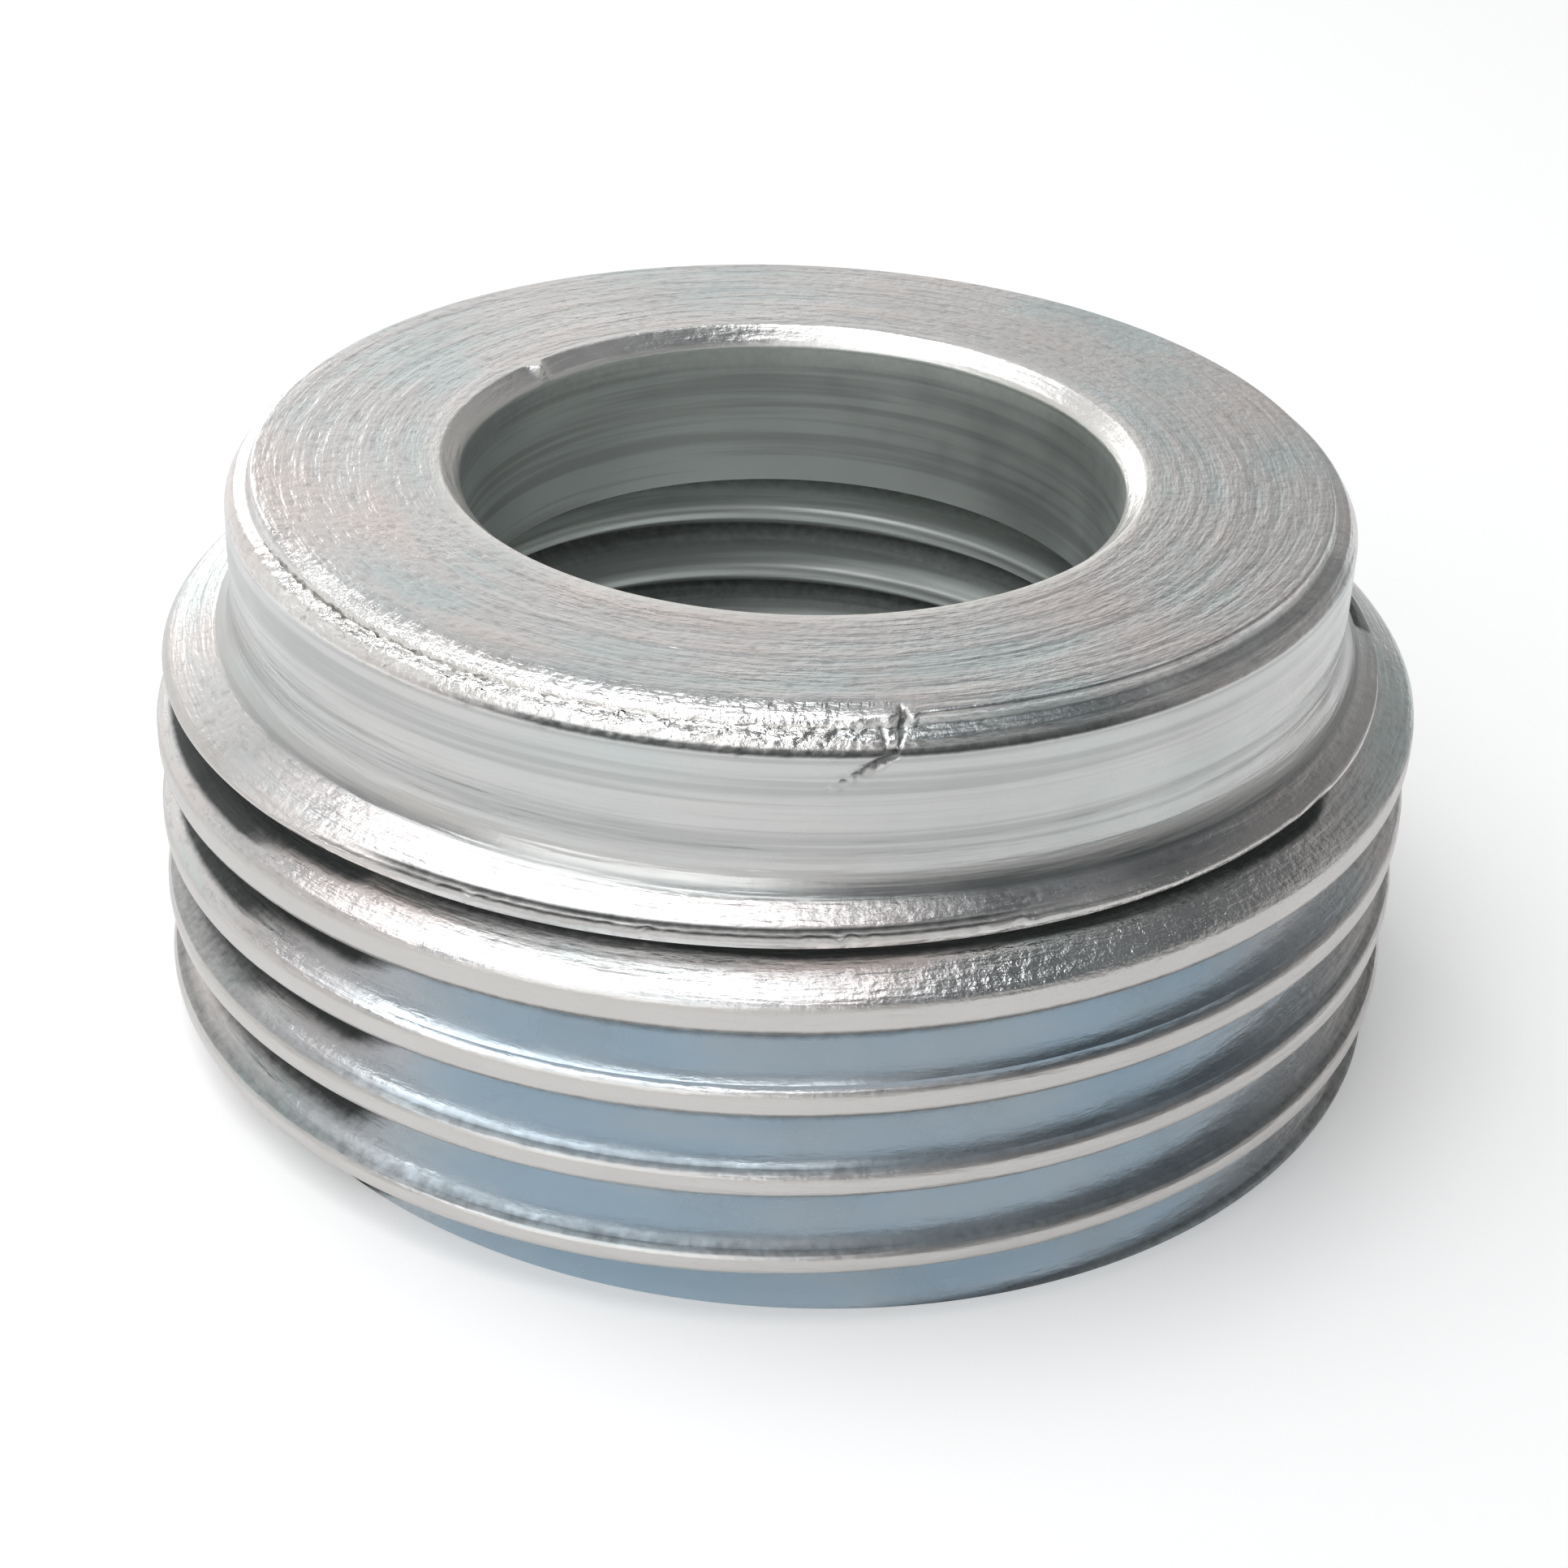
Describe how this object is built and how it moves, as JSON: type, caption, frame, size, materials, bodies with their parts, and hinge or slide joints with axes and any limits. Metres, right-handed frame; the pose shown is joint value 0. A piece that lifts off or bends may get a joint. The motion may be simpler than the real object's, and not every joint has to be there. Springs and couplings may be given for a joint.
{
  "type": "conduit reducer",
  "caption": "Headless conduit reducer: a stepped collar over a tapered male thread, bored through with a female thread below a smooth throat.",
  "frame": {"origin": "centre of the lower, threaded end face", "axes": "+Z along the axis from the threaded end to the collar, -Y towards the nick in the rim"},
  "size_m": [0.0318, 0.0318, 0.0144],
  "materials": {
    "zinc_plated_steel": "bright zinc plating over turned steel, with fine turning marks on the face and collar"
  },
  "bodies": {
    "root": {"reducer_body": "zinc_plated_steel"}
  },
  "joints": []
}
